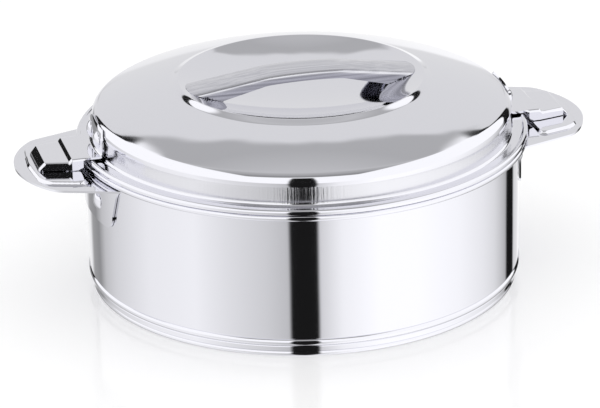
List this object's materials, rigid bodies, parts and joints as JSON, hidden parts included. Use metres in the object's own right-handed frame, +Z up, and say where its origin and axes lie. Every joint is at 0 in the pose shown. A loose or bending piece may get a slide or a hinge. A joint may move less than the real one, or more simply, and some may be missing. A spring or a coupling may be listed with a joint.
{
  "type": "insulated serving casserole",
  "caption": "Round double-walled steel serving casserole with riveted side handles and an insulated lift-off lid that has a recessed strap handle.",
  "frame": {"origin": "centre of the foot ring, on the table", "axes": "+Z up along the pot's axis, +X through the two body handles, +Y to the back as pictured"},
  "size_m": [0.322, 0.2504, 0.1218],
  "materials": {
    "polished_steel": "mirror-polished stainless steel",
    "brushed_steel": "satin stainless steel",
    "foam": "rigid polyurethane foam, sealed in"
  },
  "bodies": {
    "pot": {"outer_shell": "polished_steel", "inner_bowl": "polished_steel", "body_insulation": "foam", "base_cap": "polished_steel", "ear_left": "polished_steel", "ear_right": "polished_steel", "ear_rivet_left_front": "polished_steel", "ear_rivet_left_rear": "polished_steel", "ear_rivet_right_front": "polished_steel", "ear_rivet_right_rear": "polished_steel"},
    "lid": {"lid_top": "polished_steel", "lid_liner": "brushed_steel", "lid_insulation": "foam", "lid_handle": "polished_steel", "lid_bracket_left": "polished_steel", "lid_bracket_right": "polished_steel", "bracket_rivet_left_front": "polished_steel", "bracket_rivet_left_rear": "polished_steel", "bracket_rivet_right_front": "polished_steel", "bracket_rivet_right_rear": "polished_steel"}
  },
  "joints": [
    {"name": "lid_lift", "type": "slide", "parent": "pot", "child": "lid", "axis": [0, 0, 1], "range_m": [0, 0.1]}
  ]
}
